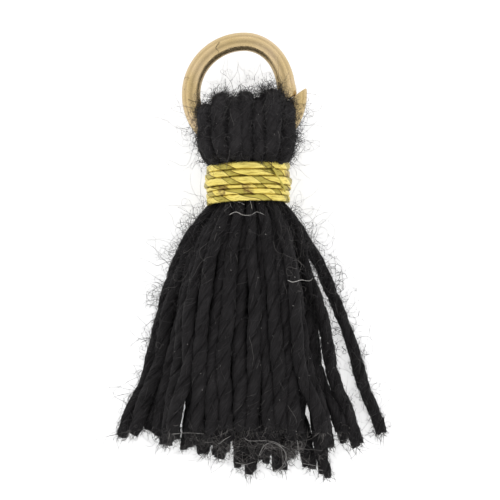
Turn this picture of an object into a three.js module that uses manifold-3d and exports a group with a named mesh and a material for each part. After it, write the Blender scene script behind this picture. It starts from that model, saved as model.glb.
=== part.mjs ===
// A mini tassel charm: loops of soft two-ply yarn over a jump ring, bound with metallic thread.
// It lies on its back. Millimetres, +Z up, +Y from the skirt towards the ring, +X to the right.
// Shapes are worked out in a frame whose origin is on the surface, under the middle of the binding.
import * as THREE from "three";
import { mergeVertices } from "three/addons/utils/BufferGeometryUtils.js";
import Module from "manifold-3d";

const wasm = await Module();
wasm.setup();

// Driving sizes
const CLEARANCE = 0.3;
const AXIS_HEIGHT = 2.45;
const BINDING_PLACE = new THREE.Vector3(-0.28, 3.4, 0);

// Jump ring: round wire, sprung so that its upper end lies inside its lower end
const WIRE_RADIUS = 0.45;
const RING_RADIUS = 2.55;
const RING_CENTRE = new THREE.Vector3(-0.18, 4.22, AXIS_HEIGHT);
const RING_SIDES = 12;
const RING_STEP = 4;
const UPPER_END = -4;
const LOWER_END = 360;
const SPRING = { inwards: 0.5, from: 88, to: 8 };
const CUT_SLANT = { upper: 0.5, lower: 0.78, fade: 1.2 };
const ROOM_SIDES = 8;
const ROOM_SPANS = [
  { from: 172, to: 376 },
  { from: -24, to: 60 },
];

// Binding: six turns of thread, listed from the ring's side, with the radius that each turn reaches
const BINDING_TOP = 0.86;
const BINDING_BORE = 1.75;
const BINDING_SIDES = 32;
const TURN_GROOVE = 0.14;
const TURN_CREST = { from: 0.25, to: 0.75 };
const TURNS = [
  { width: 0.37, radius: 2.0 },
  { width: 0.35, radius: 2.02 },
  { width: 0.38, radius: 2.16 },
  { width: 0.19, radius: 2.0 },
  { width: 0.28, radius: 1.98 },
  { width: 0.36, radius: 1.97 },
];
const BINDING_BOTTOM = BINDING_TOP - TURNS.reduce((sum, turn) => sum + turn.width, 0);

// Head: columns of loops side by side, from left to right, each with the height of its crown
const COLUMN_PITCH = 0.68;
const COLUMN_WIDTH = 0.72;
const COLUMN_BEVEL = 0.16;
const CROWN_LENGTH = 1.4;
const CROWN_SEGMENTS = 5;
const HEAD_BOTTOM = BINDING_TOP + CLEARANCE;
const HEAD_ROUNDNESS = 2.9;
const HEAD_SHIFT = -0.03;
const HEAD_FULLNESS = 1.03;
const COLUMN_CROWNS = [3.9, 4.3, 4.22, 4.3, 4.24, 4.34, 3.9];
const PINCH = { at: HEAD_BOTTOM, share: 0.87, ends: 2.0 };
const NECK_RADIUS = BINDING_BORE - CLEARANCE;
const NECK_SIDES = 20;
const NECK_REACH = { down: -1.7, up: 2.1 };

// Skirt: strands that fan out from the binding and settle on the surface in rows, lowest row first
const ROWS = [{ strands: 15 }, { strands: 14 }, { strands: 11 }, { strands: 10 }];
const LEVELS_A_ROW = 2;
const FAN_STEPS = (ROWS[0].strands - 1) / 2;
const NECK_SPREAD = 1.52;
const FLARE = {
  left: { bulge: 2.2, within: 2.15, spread: 1.55, bend: 1 },
  right: { bulge: 1.45, within: 1.35, spread: 1.95, bend: 1.3 },
};
const SKIRT_LENGTH = 11.2;
const CUT_LINE = -12.0;
const NECK_SWELL = { by: 0.5, within: 0.8 };
const SETTLED = 3.4;
const ROW_HEIGHT = { settled: 1.0, end: 0.6 };
const STRAND_GAP = 0.07;
const STRAND_WIDTH = 0.5;
const STRAND_SEGMENTS = 12;
const STRAND_START = 0.4;
const STATION_CROWDING = 1.25;
const ROOT = { from: CLEARANCE, to: 2.0, shares: [0.8, 1.04], sides: 28, segments: 5 };

// How far each floor strand reaches past the cut line of the top row, from left to right
const FLOOR_REACH = [0.15, 0.25, 0.45, 0.6, 0.8, 0.9, 1.5, 1.85, 1.0, 1.8, 1.0, 1.6, 2.0, 0.1, -0.2];
const REACH_SHARE = [1, 0.62, 0.3, 0];

// Strands that stray sideways from the fan, with how far they sink as they do and how much longer they are
const STRAYS = [
  { row: 0, place: 0, by: -0.65, from: 7.6, over: 2.8, sinks: 1, longer: 0 },
  { row: 0, place: 6, by: 0.3, from: 9, over: 1.5, sinks: 1, longer: 0 },
  { row: 0, place: 7, by: 0.12, from: 9, over: 1.5, sinks: 1, longer: 0 },
  { row: 0, place: 9, by: 0.2, from: 9, over: 1.5, sinks: 1, longer: 0 },
  { row: 0, place: 11, by: 0.27, from: 9.8, over: 1.2, sinks: 1, longer: 0 },
  { row: 0, place: 12, by: -0.58, from: 9.8, over: 1.2, sinks: 1, longer: 0 },
  { row: 0, place: 14, by: 3.3, from: 2.6, over: 14, sinks: 1, longer: 0 },
  { row: 1, place: 0, by: -0.3, from: 7, over: 2, sinks: 0, longer: 0 },
  { row: 1, place: 12, by: 0, from: 0, over: 1, sinks: 0, longer: -0.5 },
  { row: 1, place: 13, by: 0.55, from: 8.2, over: 1.4, sinks: 0, longer: 0.6 },
];
const NO_STRAY = { by: 0, from: 0, over: 1, sinks: 0, longer: 0 };

// Partings where the strands draw away to both sides of a line of the fan
const PARTING_REACH = 2.5;
const PAST_THE_ENDS = { until: 20, gone: 21 };
const PARTINGS = [
  { fan: -0.607, by: 0.26, from: 7.5, full: 9.5, ...PAST_THE_ENDS },
  { fan: 0.607, by: 0.24, from: 8.2, full: 10, ...PAST_THE_ENDS },
  { fan: 0.893, by: 0.3, from: 3, full: 5.5, until: 8, gone: 10 },
];

const YARN = new THREE.MeshStandardMaterial({ color: 0x1b1a1d, roughness: 0.95, metalness: 0 });
const GOLD_WIRE = new THREE.MeshStandardMaterial({ color: 0xd2b07a, roughness: 0.3, metalness: 1 });
const GOLD_THREAD = new THREE.MeshStandardMaterial({ color: 0xd9c25a, roughness: 0.4, metalness: 0.8 });

const SAME_POINT = 1e-4;

const { clamp, lerp, smoothstep, degToRad } = THREE.MathUtils;

// Moves every vertex of a geometry by a function that changes the point it is given.
function reshape(geometry, move) {
  const points = geometry.getAttribute("position");
  const point = new THREE.Vector3();
  for (let i = 0; i < points.count; i++) {
    point.fromBufferAttribute(points, i);
    move(point);
    points.setXYZ(i, point.x, point.y, point.z);
  }
  return geometry;
}

function toSolid(geometry) {
  geometry.deleteAttribute("normal");
  geometry.deleteAttribute("uv");
  const merged = mergeVertices(geometry, SAME_POINT);
  const vertProperties = merged.getAttribute("position").array;
  const triVerts = new Uint32Array(merged.index.array);
  return new wasm.Manifold(new wasm.Mesh({ numProp: 3, vertProperties, triVerts }));
}

function toGeometry(solid) {
  const { vertProperties, triVerts } = solid.getMesh();
  const geometry = new THREE.BufferGeometry();
  geometry.setAttribute("position", new THREE.BufferAttribute(vertProperties, 3));
  geometry.setIndex(new THREE.BufferAttribute(triVerts, 1));
  geometry.computeVertexNormals();
  return geometry;
}

// How far the ring's wire is sprung towards its centre at an angle in degrees.
function springIn(angle) {
  return SPRING.inwards * (1 - smoothstep(angle, SPRING.to, SPRING.from));
}

// A straight wire bent round the ring's centre, its ends slanted as the cutters left them.
function bentWire(radius, sides, from, to, slant = { upper: 0, lower: 0 }) {
  const steps = Math.round((to - from) / RING_STEP);
  const wire = new THREE.CylinderGeometry(radius, radius, 1, sides, steps, false, Math.PI / sides);
  return reshape(wire, (point) => {
    const angle = lerp(from, to, point.y + 0.5);
    const toUpper = degToRad(angle - from) * RING_RADIUS;
    const toLower = degToRad(to - angle) * RING_RADIUS;
    const upper = slant.upper * clamp(1 - toUpper / CUT_SLANT.fade, 0, 1);
    const lower = slant.lower * clamp(1 - toLower / CUT_SLANT.fade, 0, 1);
    const reach = RING_RADIUS - springIn(angle) + point.x;
    const along = (upper + lower) * point.x;
    const turn = degToRad(angle);
    point.set(
      RING_CENTRE.x + reach * Math.cos(turn) - along * Math.sin(turn),
      RING_CENTRE.y + reach * Math.sin(turn) + along * Math.cos(turn),
      RING_CENTRE.z + point.z,
    );
  });
}

function jumpRing() {
  return bentWire(WIRE_RADIUS, RING_SIDES, UPPER_END, LOWER_END, CUT_SLANT);
}

// The room that the yarn leaves round the wire where the ring passes through the head.
function ringRoom() {
  const room = (WIRE_RADIUS + CLEARANCE) / Math.cos(Math.PI / ROOM_SIDES);
  const spans = ROOM_SPANS.map(({ from, to }) => toSolid(bentWire(room, ROOM_SIDES, from, to)));
  return spans[0].add(spans[1]);
}

// The binding is one sleeve with a ridge for each turn, revolved about the tassel's axis.
function neckBinding() {
  const profile = [new THREE.Vector2(BINDING_BORE, BINDING_BOTTOM)];
  let edge = BINDING_BOTTOM;
  for (const { width, radius } of [...TURNS].reverse()) {
    profile.push(new THREE.Vector2(radius - TURN_GROOVE, edge));
    profile.push(new THREE.Vector2(radius, edge + TURN_CREST.from * width));
    profile.push(new THREE.Vector2(radius, edge + TURN_CREST.to * width));
    edge += width;
  }
  profile.push(new THREE.Vector2(TURNS[0].radius - TURN_GROOVE, BINDING_TOP));
  profile.push(new THREE.Vector2(BINDING_BORE, BINDING_TOP));
  profile.push(profile[0].clone());
  return new THREE.LatheGeometry(profile, BINDING_SIDES).translate(0, 0, AXIS_HEIGHT);
}

// How much the head is drawn in at a distance along the axis, as it enters the binding.
function pinch(y) {
  return lerp(PINCH.share, 1, smoothstep(y, PINCH.at, PINCH.ends));
}

// One column of loops: up the front, over the ring's wire and down the back.
function headColumn(crown, index) {
  const x = (index - (COLUMN_CROWNS.length - 1) / 2) * COLUMN_PITCH;
  const round = Math.sqrt(1 - (x / HEAD_ROUNDNESS) ** 2);
  const half = Math.min(AXIS_HEIGHT, HEAD_FULLNESS * AXIS_HEIGHT * round);
  const shoulder = crown - CROWN_LENGTH;
  const stations = [HEAD_BOTTOM, lerp(HEAD_BOTTOM, PINCH.ends, 0.5), PINCH.ends];
  const outline = new THREE.Shape();
  outline.moveTo(stations[0], -half);
  stations.slice(1).forEach((y) => outline.lineTo(y, -half));
  outline.absellipse(shoulder, 0, CROWN_LENGTH, half, -Math.PI / 2, Math.PI / 2, false, 0);
  [...stations].reverse().forEach((y) => outline.lineTo(y, half));
  const depth = COLUMN_WIDTH - 2 * COLUMN_BEVEL;
  const column = new THREE.ExtrudeGeometry(outline, {
    depth,
    curveSegments: CROWN_SEGMENTS,
    bevelThickness: COLUMN_BEVEL,
    bevelSize: COLUMN_BEVEL,
    bevelOffset: -COLUMN_BEVEL,
    bevelSegments: 1,
  });
  return reshape(column, (point) => {
    const narrowed = pinch(point.x);
    point.set(
      (x + point.z - depth / 2) * narrowed + HEAD_SHIFT,
      point.x,
      Math.max(0, AXIS_HEIGHT + point.y * narrowed),
    );
  });
}

function neckCore() {
  const length = NECK_REACH.up - NECK_REACH.down;
  const middle = (NECK_REACH.up + NECK_REACH.down) / 2;
  const core = new THREE.CylinderGeometry(NECK_RADIUS, NECK_RADIUS, length, NECK_SIDES);
  return core.translate(0, middle, AXIS_HEIGHT);
}

// Half the width of the fan of strands, at a distance below the binding, on the side of a fan line.
function flare(below, fan) {
  const { bulge, within, spread, bend } = fan < 0 ? FLARE.left : FLARE.right;
  const opened = bulge * (1 - Math.exp(-below / within));
  return NECK_SPREAD + opened + spread * (below / SKIRT_LENGTH) ** bend;
}

function partingShift(below, fan) {
  let shift = 0;
  for (const { fan: line, by, from, full, until, gone } of PARTINGS) {
    const open = smoothstep(below, from, full) * (1 - smoothstep(below, until, gone));
    const away = Math.abs(fan - line) * flare(below, fan);
    shift += Math.sign(fan - line) * by * open * Math.exp(-away / PARTING_REACH);
  }
  return shift;
}

function rowHeight(below) {
  const along = clamp((below - SETTLED) / (SKIRT_LENGTH - SETTLED), 0, 1);
  return lerp(ROW_HEIGHT.settled, ROW_HEIGHT.end, along);
}

// Height over the surface: a level in the round neck that passes into a row of the settled skirt.
function skirtHeight(below, level, row, lowest) {
  const spread = NECK_SPREAD + NECK_SWELL.by * (1 - Math.exp(-below / NECK_SWELL.within));
  const inNeck = AXIS_HEIGHT + level * spread;
  const inRows = lowest + row * rowHeight(below);
  return lerp(inNeck, inRows, smoothstep(below, 0, SETTLED));
}

function strandWidth(below) {
  const pitch = Math.min(flare(below, -1), flare(below, 1)) / FAN_STEPS;
  return Math.min(STRAND_WIDTH, pitch - STRAND_GAP);
}

// How far a strand reaches past the cut line: a floor strand by the list, those over it by less.
function strandReach(row, fan) {
  const place = (fan + 1) * FAN_STEPS;
  const near = FLOOR_REACH[Math.floor(place)];
  const next = FLOOR_REACH[Math.ceil(place)];
  return REACH_SHARE[row] * lerp(near, next, place % 1);
}

// Neighbours in one settled row come from two levels of the neck, so that the neck packs round.
function strandAt(row, place) {
  const fan = (place - (ROWS[row].strands - 1) / 2) / FAN_STEPS;
  const share = (row + (0.5 + (place % LEVELS_A_ROW)) / LEVELS_A_ROW) / ROWS.length;
  const level = (2 * share - 1) * Math.sqrt(1 - fan * fan);
  const stray = STRAYS.find((entry) => entry.row === row && entry.place === place) ?? NO_STRAY;
  const length = BINDING_BOTTOM - CUT_LINE + strandReach(row, fan) + stray.longer;
  return { fan, level, row, stray, length };
}

// How far along its way aside a strand is, from 0 to 1.
function strayed(below, stray) {
  return 1 - Math.exp(-Math.max(0, below - stray.from) / stray.over);
}

// A square bar drawn along its strand's route, level on its underside where it has settled.
function strandBar(strand) {
  const bar = new THREE.BoxGeometry(1, 1, 1, 1, STRAND_SEGMENTS, 1);
  return reshape(bar, (point) => {
    const below = lerp(STRAND_START, strand.length, (0.5 - point.y) ** STATION_CROWDING);
    const width = strandWidth(below);
    const aside = strayed(below, strand.stray);
    const shift = partingShift(below, strand.fan) + aside * strand.stray.by;
    const x = strand.fan * flare(below, strand.fan) + shift;
    const row = strand.row * (1 - aside * strand.stray.sinks);
    const z = skirtHeight(below, strand.level, row, width / 2);
    point.set(x + point.x * width, BINDING_BOTTOM - below, z + point.z * width);
  });
}

// The strands' roots, pressed into one body just below the binding.
function skirtRoot() {
  const root = new THREE.CylinderGeometry(1, 1, 1, ROOT.sides, ROOT.segments);
  return reshape(root, (point) => {
    const below = lerp(ROOT.to, ROOT.from, point.y + 0.5);
    const share = lerp(...ROOT.shares, point.y + 0.5);
    const level = share * point.z;
    const row = (level + 1) * (ROWS.length / 2) - 0.5;
    const x = share * point.x * flare(below, point.x);
    const z = skirtHeight(below, level, row, strandWidth(below) / 2);
    point.set(x, BINDING_BOTTOM - below, z);
  });
}

function tassel() {
  let yarn = toSolid(neckCore()).add(toSolid(skirtRoot()));
  COLUMN_CROWNS.forEach((crown, index) => {
    yarn = yarn.add(toSolid(headColumn(crown, index)));
  });
  ROWS.forEach(({ strands }, row) => {
    for (let place = 0; place < strands; place++) {
      yarn = yarn.add(toSolid(strandBar(strandAt(row, place))));
    }
  });
  return toGeometry(yarn.subtract(ringRoom()));
}

function namedMesh(name, geometry, material) {
  const mesh = new THREE.Mesh(geometry, material);
  mesh.name = name;
  return mesh;
}

const charm = new THREE.Group();
charm.position.copy(BINDING_PLACE);
charm.add(namedMesh("jump_ring", jumpRing(), GOLD_WIRE));
charm.add(namedMesh("tassel", tassel(), YARN));
charm.add(namedMesh("neck_binding", neckBinding(), GOLD_THREAD));

const part = new THREE.Group();
part.add(charm);
export default part;
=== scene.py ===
"""A mini tassel charm of black two-ply yarn, looped over a gold jump ring and bound with metallic thread.

The shapes are worked out in millimetres, in a frame whose origin is on the surface that the charm lies on,
under the middle of the binding: +Y towards the ring, +X to the right, +Z up.
"""
import math
from collections import namedtuple

import bpy
import numpy as np
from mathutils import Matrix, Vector
from mathutils.bvhtree import BVHTree


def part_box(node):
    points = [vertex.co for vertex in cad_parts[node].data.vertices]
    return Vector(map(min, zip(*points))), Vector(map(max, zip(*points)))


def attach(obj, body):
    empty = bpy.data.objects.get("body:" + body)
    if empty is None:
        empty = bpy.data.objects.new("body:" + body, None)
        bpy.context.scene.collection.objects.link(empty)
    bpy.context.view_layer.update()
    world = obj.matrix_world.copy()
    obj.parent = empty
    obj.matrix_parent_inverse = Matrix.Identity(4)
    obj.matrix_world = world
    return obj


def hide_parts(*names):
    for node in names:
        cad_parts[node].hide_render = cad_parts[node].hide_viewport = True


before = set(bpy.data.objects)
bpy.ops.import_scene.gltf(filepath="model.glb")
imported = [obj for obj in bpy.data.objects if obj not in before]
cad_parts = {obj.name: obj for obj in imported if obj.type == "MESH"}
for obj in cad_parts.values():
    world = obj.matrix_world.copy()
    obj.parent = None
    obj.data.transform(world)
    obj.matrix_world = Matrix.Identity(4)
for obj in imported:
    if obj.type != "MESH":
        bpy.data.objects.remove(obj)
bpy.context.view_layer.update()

MM = 0.001
TURN = 2 * math.pi
PIXEL = 0.048
BINDING_TOP = 0.86
BINDING_BOTTOM = -1.06

binding_low, binding_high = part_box("neck_binding")
AXIS_HEIGHT = (binding_low.z + binding_high.z) / 2 / MM
ORIGIN = np.array([(binding_low.x + binding_high.x) / 2, binding_high.y - BINDING_TOP * MM, 0])


def unit(vectors):
    length = np.linalg.norm(vectors, axis=-1, keepdims=True)
    return vectors / np.maximum(length, 1e-9)


def smoothstep(value, low, high):
    share = np.clip((value - low) / (high - low), 0, 1)
    return share * share * (3 - 2 * share)


def lerp(low, high, share):
    return low + (high - low) * share


def points_at(x, y, z):
    return np.stack(np.broadcast_arrays(x, y, z), axis=-1)


def circle(sides):
    return np.linspace(0, TURN, sides, endpoint=False)


def add_object(name, data):
    thing = bpy.data.objects.new(name, data)
    bpy.context.scene.collection.objects.link(thing)
    return thing


# Camera: it looks down on the charm from a little towards the skirt's ends
CAMERA_TILT = math.radians(5)
CAMERA_DISTANCE = 500
CAMERA_LENS = 752
CAMERA_TARGET = np.array([0.096, -3.24, AXIS_HEIGHT])
AXIS_PIXEL = np.array([248, 182.5])


def make_camera():
    data = bpy.data.cameras.new("camera")
    data.lens = CAMERA_LENS
    data.sensor_width = 36
    data.clip_start = 0.01
    data.clip_end = 10
    camera = add_object("camera", data)
    back = Vector((0, -math.sin(CAMERA_TILT), math.cos(CAMERA_TILT)))
    camera.location = Vector(ORIGIN + CAMERA_TARGET * MM) + back * CAMERA_DISTANCE * MM
    camera.rotation_mode = "QUATERNION"
    camera.rotation_quaternion = back.to_track_quat("Z", "Y")
    bpy.context.scene.camera = camera


# Node helpers
def new_material(name):
    material = bpy.data.materials.new(name)
    material.use_nodes = True
    tree = material.node_tree
    return material, tree, tree.nodes["Principled BSDF"]


def add_node(tree, kind, **settings):
    node = tree.nodes.new(kind)
    for key, value in settings.items():
        setattr(node, key, value)
    return node


def feed(socket, value):
    """Links a socket to another one, or sets it to a value."""
    if isinstance(value, bpy.types.NodeSocket):
        socket.id_data.links.new(value, socket)
    else:
        socket.default_value = value


def set_inputs(node, **values):
    for key, value in values.items():
        feed(node.inputs[key.replace("_", " ")], value)


def uv_along(tree):
    return add_node(tree, "ShaderNodeUVMap", uv_map="along").outputs["UV"]


def part_of(tree, vector, axis):
    split = add_node(tree, "ShaderNodeSeparateXYZ")
    set_inputs(split, Vector=vector)
    return split.outputs[axis]


def calculated(tree, operation, *values):
    node = add_node(tree, "ShaderNodeMath", operation=operation)
    for socket, value in zip(node.inputs, values):
        feed(socket, value)
    return node.outputs["Value"]


def mixed(tree, factor, first, second, blend_type="MIX"):
    """Two colours mixed. The factor and the colours are sockets or values."""
    node = add_node(tree, "ShaderNodeMix", data_type="RGBA", blend_type=blend_type)
    sockets = (node.inputs["Factor"], node.inputs[6], node.inputs[7])
    for socket, value in zip(sockets, (factor, first, second)):
        feed(socket, value)
    return node.outputs[2]


def noise(tree, source, scale, **inputs):
    """Noise over a source of coordinates, stretched by a scale for each axis."""
    mapping = add_node(tree, "ShaderNodeMapping")
    set_inputs(mapping, Vector=source, Scale=scale)
    node = add_node(tree, "ShaderNodeTexNoise")
    set_inputs(node, Vector=mapping.outputs["Vector"], Scale=1, **inputs)
    return node.outputs["Fac"]


def ramp(tree, factor, stops):
    """A colour from a ramp whose stops are pairs of a position and a colour."""
    node = add_node(tree, "ShaderNodeValToRGB")
    set_inputs(node, Fac=factor)
    elements = node.color_ramp.elements
    while len(elements) < len(stops):
        elements.new(0.5)
    for element, (position, colour) in zip(elements, stops):
        element.position = position
        element.color = (*colour, 1)
    return node.outputs["Color"]


def bump(tree, height, strength, distance):
    node = add_node(tree, "ShaderNodeBump")
    set_inputs(node, Strength=strength, Distance=distance, Height=height)
    return node.outputs["Normal"]


def grey(value):
    return (value, value, value)


# Materials
BLOTCHES = 0.45
FELTED_BETWEEN = (0.9, 1.6)
FELT_TINT = (0.0085, 0.0079, 0.0082, 1)
WIRE_STAIN = 0.2
# How strongly the painted shade in the foil's crinkles darkens its colour
CREASE_SHADE_MIX = 0.75
WORN_CORE = (0.15, 0.07, 0.03, 1)


def yarn_material():
    """Black wool: streaks along the fibres of each ply, a faint sheen, and paler where it is felted."""
    material, tree, shader = new_material("black_yarn")
    uv = uv_along(tree)
    streaks = noise(tree, uv, (1.6, 22, 1), Detail=4, Roughness=0.65)
    blotches = noise(tree, uv, (1.1, 1.6, 1), Detail=2, Roughness=0.5)
    blacks = [
        (0.42, (0.006, 0.0054, 0.0059)),
        (0.7, (0.0125, 0.0115, 0.0122)),
        (0.95, (0.032, 0.03, 0.0312)),
    ]
    colours = ramp(tree, calculated(tree, "MULTIPLY_ADD", blotches, BLOTCHES, streaks), blacks)
    place = add_node(tree, "ShaderNodeTexCoord").outputs["Object"]
    felted = add_node(tree, "ShaderNodeMapRange", interpolation_type="SMOOTHSTEP")
    low, high = (ORIGIN[1] + edge * MM for edge in FELTED_BETWEEN)
    set_inputs(felted, Value=part_of(tree, place, "Y"), From_Min=low, From_Max=high)
    lighter = mixed(tree, felted.outputs["Result"], colours, FELT_TINT, "ADD")
    set_inputs(shader, Base_Color=lighter, Normal=bump(tree, streaks, 0.8, 0.00004))
    set_inputs(shader, Roughness=0.8, Sheen_Weight=0.03, Sheen_Roughness=0.5, Specular_IOR_Level=0.1)
    return material


def fibre_material(name, shades, roughness, specular):
    """Single fibres, each of its own shade: shades are pairs of a share of the fibres and a colour."""
    material, tree, shader = new_material(name)
    colour = ramp(tree, part_of(tree, uv_along(tree), "X"), shades)
    set_inputs(shader, Base_Color=colour, Roughness=roughness, Specular_IOR_Level=specular)
    return material


def wire_material():
    """Gold-plated wire with faint drawing marks along it and small nicks."""
    material, tree, shader = new_material("gold_wire")
    uv = uv_along(tree)
    marks = noise(tree, uv, (0.35, 9, 1), Detail=5, Roughness=0.6)
    nicks = noise(tree, uv, (3.2, 6, 1), Detail=3, Roughness=0.7)
    tint = noise(tree, uv, (0.5, 1.2, 1), Detail=2)
    golds = [(0.3, (0.52, 0.385, 0.18)), (0.55, (0.58, 0.44, 0.245)), (0.75, (0.63, 0.475, 0.32))]
    stain = ramp(tree, marks, [(0.3, grey(0.55)), (0.45, grey(1))])
    stained = mixed(tree, WIRE_STAIN, ramp(tree, tint, golds), stain, "MULTIPLY")
    rough = ramp(tree, nicks, [(0.35, grey(0.15)), (0.7, grey(0.34))])
    dents = bump(tree, calculated(tree, "ADD", marks, nicks), 0.16, 0.00003)
    set_inputs(shader, Base_Color=stained, Roughness=rough, Normal=dents, Metallic=0.82)
    return material


def thread_material():
    """Foil strip wound round a core: bright strip, olive core between its turns with painted shade over its
    colour, dark lines of painted shade at the strip's edges, painted shade in the crinkles, worn places.
    """
    material, tree, shader = new_material("gold_thread")
    uv = uv_along(tree)
    # Stops along each turn: dark lines of painted shade at the strip's edges, where it steps onto the core,
    # and the olive core's own colour darkened by painted shade
    foil_core_and_shade = [
        (0.0, (0.1, 0.06, 0.008)),
        (0.018, (0.12, 0.075, 0.01)),
        (0.05, (0.86, 0.73, 0.22)),
        (0.63, (0.82, 0.68, 0.17)),
        (0.655, (0.16, 0.1, 0.015)),
        (0.68, (0.13, 0.08, 0.012)),
        (0.71, (0.45, 0.38, 0.085)),
        (0.97, (0.52, 0.44, 0.1)),
    ]
    colours = ramp(tree, calculated(tree, "FRACT", part_of(tree, uv, "X")), foil_core_and_shade)
    crinkle = noise(tree, uv, (6, 16, 1), Detail=3, Roughness=0.6)
    # Painted shade: the crinkle's low places darken the foil's colour
    crease_shade = ramp(tree, crinkle, [(0.36, (0.46, 0.38, 0.2)), (0.47, (0.92, 0.9, 0.82)), (0.6, grey(1))])
    crease_shaded = mixed(tree, CREASE_SHADE_MIX, colours, crease_shade, "MULTIPLY")
    worn = add_node(tree, "ShaderNodeAttribute", attribute_name="worn").outputs["Fac"]
    set_inputs(shader, Base_Color=mixed(tree, worn, crease_shaded, WORN_CORE))
    set_inputs(shader, Normal=bump(tree, crinkle, 0.5, 0.00003), Metallic=0.85, Roughness=0.38)
    return material


# Meshes
def make_piece(name, points, faces, uvs, material, nodes):
    """A smooth mesh piece: points in millimetres, faces as rows of indices, and a uv for each corner."""
    mesh = bpy.data.meshes.new(name)
    place = ORIGIN + points * MM
    mesh.from_pydata(place.tolist(), [], faces)
    mesh.shade_smooth()
    layer = mesh.uv_layers.new(name="along")
    layer.data.foreach_set("uv", np.asarray(uvs, np.float32).ravel())
    mesh.materials.append(material)
    piece = add_object(name, mesh)
    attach(piece, "root")
    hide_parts(*nodes)
    return piece


def at_corners(grid):
    """A grid of values, one for each point of a sheet, as rows of four, one row for each face."""
    return np.stack([grid[:-1, :-1], grid[:-1, 1:], grid[1:, 1:], grid[1:, :-1]], axis=-1).reshape(-1, 4)


def uvs_at_corners(u, v):
    return np.stack([at_corners(u), at_corners(v)], axis=-1).reshape(-1, 2)


def rings_round(line, out, outwards, aside, across):
    """Rings of points round a line, from how far out and aside each point is, and both directions."""
    return line[:, None] + out[..., None] * outwards[:, None] + aside[..., None] * across[:, None]


class Batch:
    """Tubes gathered into one mesh."""

    def __init__(self):
        self.points = []
        self.faces = []
        self.uvs = []
        self.count = 0

    def add_tube(self, rings, along, around):
        """rings holds (steps, sides, 3) points; along has a value a step, around one a side and one more."""
        steps, sides = rings.shape[:2]
        self.points.append(rings.reshape(-1, 3))
        self.points.append(rings[[0, -1]].mean(axis=1))
        index = self.count + np.arange(steps)[:, None] * sides + np.arange(sides + 1) % sides
        self.faces.extend(at_corners(index).tolist())
        self.uvs.append(uvs_at_corners(*np.broadcast_arrays(along[:, None], around)))
        caps = [(0, index[0, 1:], index[0, :-1]), (1, index[-1, :-1], index[-1, 1:])]
        for end, first, second in caps:
            middle = np.full(sides, self.count + steps * sides + end)
            self.faces.extend(np.stack([middle, first, second], axis=-1).tolist())
            self.uvs.append(np.tile([along[-end], around[0]], (3 * sides, 1)))
        self.count += steps * sides + 2

    def make(self, name, material, slot, nodes):
        points = np.concatenate(self.points)
        return make_piece(name, points, self.faces, np.concatenate(self.uvs), material, nodes)


def normals_along(paths, normal):
    """Two normals to one path, or to each of many, that turn as little as they can from a first one."""
    tangent = unit(np.gradient(paths, axis=-2))
    u = np.empty_like(paths)
    for index in range(paths.shape[-2]):
        direction = tangent[..., index, :]
        normal = unit(normal - direction * (normal * direction).sum(-1, keepdims=True))
        u[..., index, :] = normal
    return u, np.cross(tangent, u)


def lengths_along(path):
    return np.concatenate([[0], np.cumsum(np.linalg.norm(np.diff(path, axis=0), axis=1))])


def resample(path, step, *others):
    """The path at an even step along its length, with other values that go with its points."""
    lengths = lengths_along(path)
    count = max(2, int(round(lengths[-1] / step)) + 1)
    at = np.linspace(0, lengths[-1], count)
    even = np.stack([np.interp(at, lengths, path[:, axis]) for axis in range(3)], axis=-1)
    return (even, at, *[np.interp(at, lengths, values) for values in others])


# Jump ring
WIRE_RADIUS = 0.45
RING_RADIUS = 2.55
RING_CENTRE = np.array([-0.18, 4.235, AXIS_HEIGHT])
UPPER_END = -8
LOWER_END = 360
SPRING = {"inwards": 0.5, "from": 88, "to": 8}
CUT_SLANT = 0.78
CUT_FADE = 1.2
RING_STEP = 2
RING_SIDES = 28
CUT_ROUNDING = [(0.0, 0.86), (0.03, 0.95), (0.08, 1.0)]
CUT_EDGE_ANGLE = math.radians(40)
RING_HAIR_HEIGHT = AXIS_HEIGHT + 0.47


def ring_wire():
    turn = np.arange(UPPER_END, LOWER_END + RING_STEP, RING_STEP, dtype=float)
    extra = np.array([math.degrees(distance / RING_RADIUS) for distance, _ in CUT_ROUNDING])
    turn = np.concatenate([UPPER_END + extra, turn[1:-1], LOWER_END - extra[::-1]])
    shares = np.array([share for _, share in CUT_ROUNDING])
    rounding = np.concatenate([shares, np.ones(len(turn) - 2 * len(shares)), shares[::-1]])
    angle = np.radians(turn)
    sprung = SPRING["inwards"] * (1 - smoothstep(turn, SPRING["to"], SPRING["from"]))
    around = circle(RING_SIDES)
    outwards = WIRE_RADIUS * rounding[:, None] * np.cos(around)
    upwards = WIRE_RADIUS * rounding[:, None] * np.sin(around)
    slant = 0
    for to_end in (turn - UPPER_END, LOWER_END - turn):
        slant = slant + CUT_SLANT * np.clip(1 - np.radians(to_end) * RING_RADIUS / CUT_FADE, 0, 1)
    reach = RING_RADIUS - sprung[:, None] + outwards
    ahead = slant[:, None] * outwards
    cos, sin = np.cos(angle)[:, None], np.sin(angle)[:, None]
    rings = points_at(reach * cos - ahead * sin, reach * sin + ahead * cos, upwards) + RING_CENTRE
    batch = Batch()
    girth = np.linspace(0, TURN * WIRE_RADIUS, RING_SIDES + 1)
    batch.add_tube(rings[:, ::-1], angle * RING_RADIUS, girth)
    piece = batch.make("ring_wire", wire_material(), "gold_wire", ["jump_ring"])
    piece.data.set_sharp_from_angle(angle=CUT_EDGE_ANGLE)


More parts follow.
